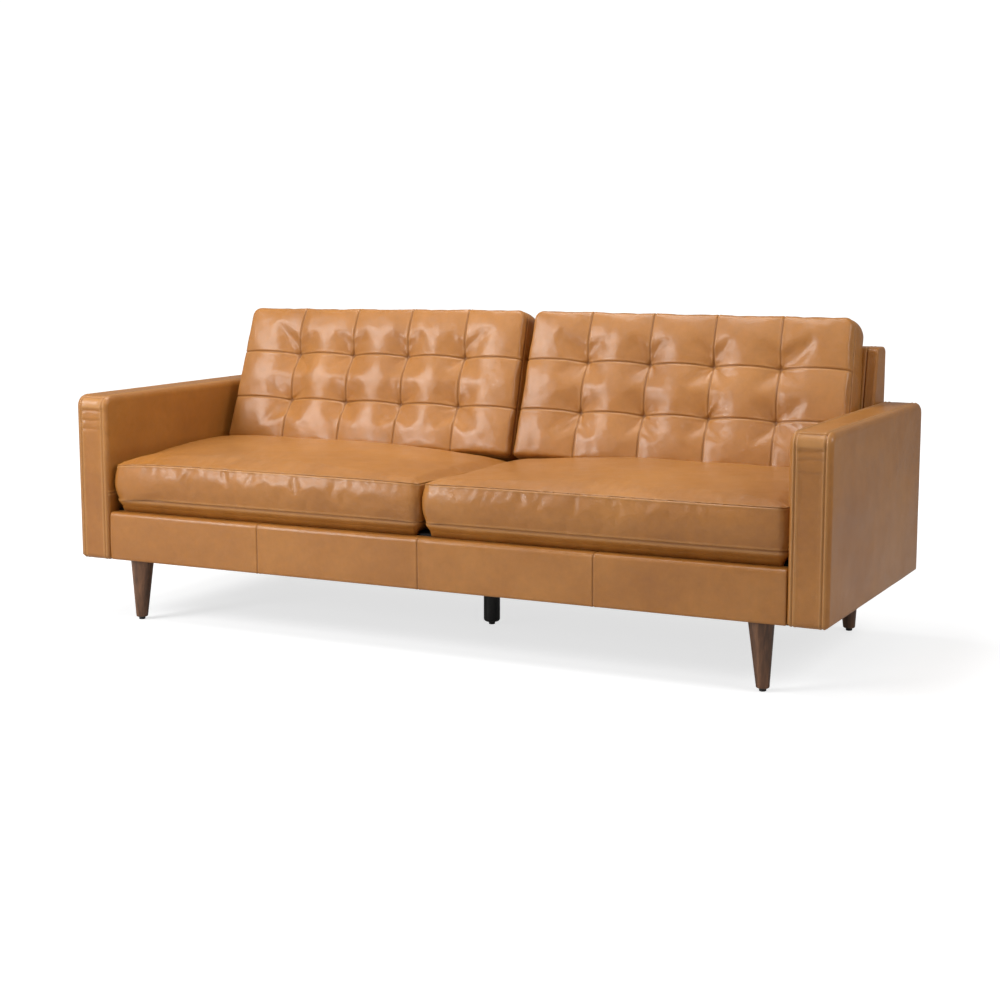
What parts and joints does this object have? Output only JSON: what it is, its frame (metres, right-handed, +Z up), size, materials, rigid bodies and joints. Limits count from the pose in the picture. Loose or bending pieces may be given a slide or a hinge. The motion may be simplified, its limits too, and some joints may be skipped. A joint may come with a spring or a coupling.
{
  "type": "two-cushion leather sofa with wooden legs",
  "caption": "Low leather sofa with box arms, two boxed seat cushions, two grid-tufted loose back cushions and turned, tapered wooden legs.",
  "frame": {"origin": "on the floor, under the middle of the rectangle made by the two arms and the front and rear faces", "axes": "+X to the sofa's right as seen from the front, along its width; +Y to the back; +Z up"},
  "size_m": [2.184, 0.84, 0.8677],
  "materials": {
    "leather": "satin",
    "foam": "matte",
    "timber": "matte",
    "walnut": "satin",
    "glide_plastic": "matte",
    "black_paint": "satin",
    "steel": "satin",
    "webbing": "matte",
    "cloth": "matte"
  },
  "bodies": {
    "frame": {"arm_cover_left": "leather", "arm_cover_right": "leather", "arm_front_post_left": "timber", "arm_front_post_right": "timber", "arm_rear_post_left": "timber", "arm_rear_post_right": "timber", "arm_top_rail_left": "timber", "arm_top_rail_right": "timber", "back_cover": "leather", "back_post_centre": "timber", "back_post_left": "timber", "back_post_right": "timber", "back_rail": "timber", "back_top_rail": "timber", "centre_leg": "black_paint", "centre_leg_bolt": "steel", "centre_stretcher": "timber", "corner_block_front_left": "timber", "corner_block_front_right": "timber", "corner_block_rear_left": "timber", "corner_block_rear_right": "timber", "dust_cloth": "cloth", "end_rail_left": "timber", "end_rail_right": "timber", "front_rail": "timber", "front_rail_cover": "leather", "glide_centre": "glide_plastic", "glide_front_left": "glide_plastic", "glide_front_right": "glide_plastic", "glide_rear_left": "glide_plastic", "glide_rear_right": "glide_plastic", "leg_bolt_front_left": "steel", "leg_bolt_front_right": "steel", "leg_bolt_rear_left": "steel", "leg_bolt_rear_right": "steel", "leg_front_left": "walnut", "leg_front_right": "walnut", "leg_plate_front_left": "steel", "leg_plate_front_right": "steel", "leg_plate_rear_left": "steel", "leg_plate_rear_right": "steel", "leg_rear_left": "walnut", "leg_rear_right": "walnut", "seat_deck": "cloth", "webbing_strap_1": "webbing", "webbing_strap_2": "webbing", "webbing_strap_3": "webbing", "webbing_strap_4": "webbing", "webbing_strap_5": "webbing", "webbing_strap_6": "webbing", "webbing_strap_7": "webbing", "webbing_strap_8": "webbing"},
    "seat_cushion_left": {"seat_cushion_left_cover": "leather", "seat_cushion_left_core": "foam"},
    "seat_cushion_right": {"seat_cushion_right_cover": "leather", "seat_cushion_right_core": "foam"},
    "back_cushion_left": {"back_cushion_left_cover": "leather", "back_cushion_left_core": "foam"},
    "back_cushion_right": {"back_cushion_right_cover": "leather", "back_cushion_right_core": "foam"}
  },
  "joints": [
    {"name": "seat_cushion_left_pull", "type": "slide", "parent": "frame", "child": "seat_cushion_left", "axis": [0, -1, 0], "range_m": [0, 0.45]},
    {"name": "seat_cushion_right_pull", "type": "slide", "parent": "frame", "child": "seat_cushion_right", "axis": [0, -1, 0], "range_m": [0, 0.45]},
    {"name": "back_cushion_left_lift", "type": "slide", "parent": "frame", "child": "back_cushion_left", "axis": [0, 0.1961, 0.9806], "range_m": [0, 0.25]},
    {"name": "back_cushion_right_lift", "type": "slide", "parent": "frame", "child": "back_cushion_right", "axis": [0, 0.1961, 0.9806], "range_m": [0, 0.25]}
  ]
}
